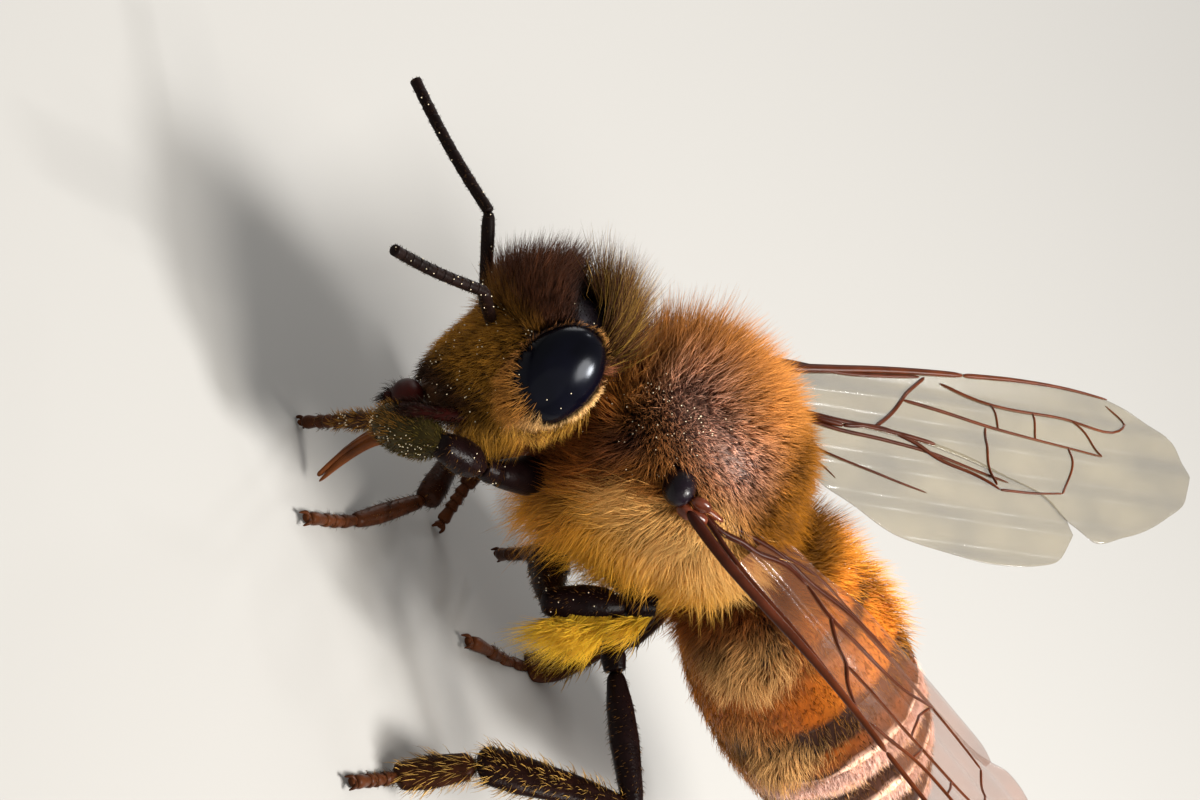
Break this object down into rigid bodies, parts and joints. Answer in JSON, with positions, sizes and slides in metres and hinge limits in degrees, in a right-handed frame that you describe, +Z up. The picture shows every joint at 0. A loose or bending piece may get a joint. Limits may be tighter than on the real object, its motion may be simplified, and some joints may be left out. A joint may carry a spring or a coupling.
{
  "type": "honey bee model",
  "caption": "Life-size still model of a worker honey bee standing with its head low, wings half spread, one middle foot raised and the tongue hanging down.",
  "frame": {"origin": "on the floor, below the middle of the bounding box", "axes": "+Z up; the head points towards -Y and the bee's left side is towards +X"},
  "size_m": [0.0114, 0.0168, 0.0106],
  "materials": {
    "golden_fur": "matte, dense fine fur",
    "dark_fur": "matte, short fine fur",
    "banded_abdomen": "satin horny rings with short fur",
    "compound_eye": "polished, finely faceted",
    "wing": "clear, veined membrane",
    "amber_mouthpart": "satin",
    "mouthpart": "polished",
    "black_shell": "satin, finely haired",
    "brown_shell": "satin, finely haired"
  },
  "bodies": {
    "root": {"abdomen_1": "banded_abdomen", "abdomen_2": "banded_abdomen", "abdomen_3": "banded_abdomen", "abdomen_4": "banded_abdomen", "abdomen_5": "banded_abdomen", "abdomen_6": "banded_abdomen", "antenna_left_flagellum": "black_shell", "antenna_left_scape": "black_shell", "antenna_right_flagellum": "black_shell", "antenna_right_scape": "black_shell", "coxa_fore_left": "black_shell", "coxa_fore_right": "black_shell", "coxa_hind_left": "black_shell", "coxa_hind_right": "black_shell", "coxa_mid_left": "black_shell", "coxa_mid_right": "black_shell", "eye_left": "compound_eye", "eye_right": "compound_eye", "femur_fore_left": "black_shell", "femur_fore_right": "black_shell", "femur_hind_left": "black_shell", "femur_hind_right": "black_shell", "femur_mid_left": "black_shell", "femur_mid_right": "black_shell", "forewing_left": "wing", "forewing_right": "wing", "head": "dark_fur", "hindwing_left": "wing", "hindwing_right": "wing", "labrum": "mouthpart", "mandible_left": "mouthpart", "mandible_right": "mouthpart", "proboscis": "amber_mouthpart", "tarsus_fore_left": "brown_shell", "tarsus_fore_right": "brown_shell", "tarsus_hind_left": "brown_shell", "tarsus_hind_right": "brown_shell", "tarsus_mid_left": "brown_shell", "tarsus_mid_right": "brown_shell", "tegula_left": "black_shell", "tegula_right": "black_shell", "thorax": "golden_fur", "tibia_fore_left": "black_shell", "tibia_fore_right": "black_shell", "tibia_hind_left": "black_shell", "tibia_hind_right": "black_shell", "tibia_mid_left": "black_shell", "tibia_mid_right": "black_shell"}
  },
  "joints": []
}
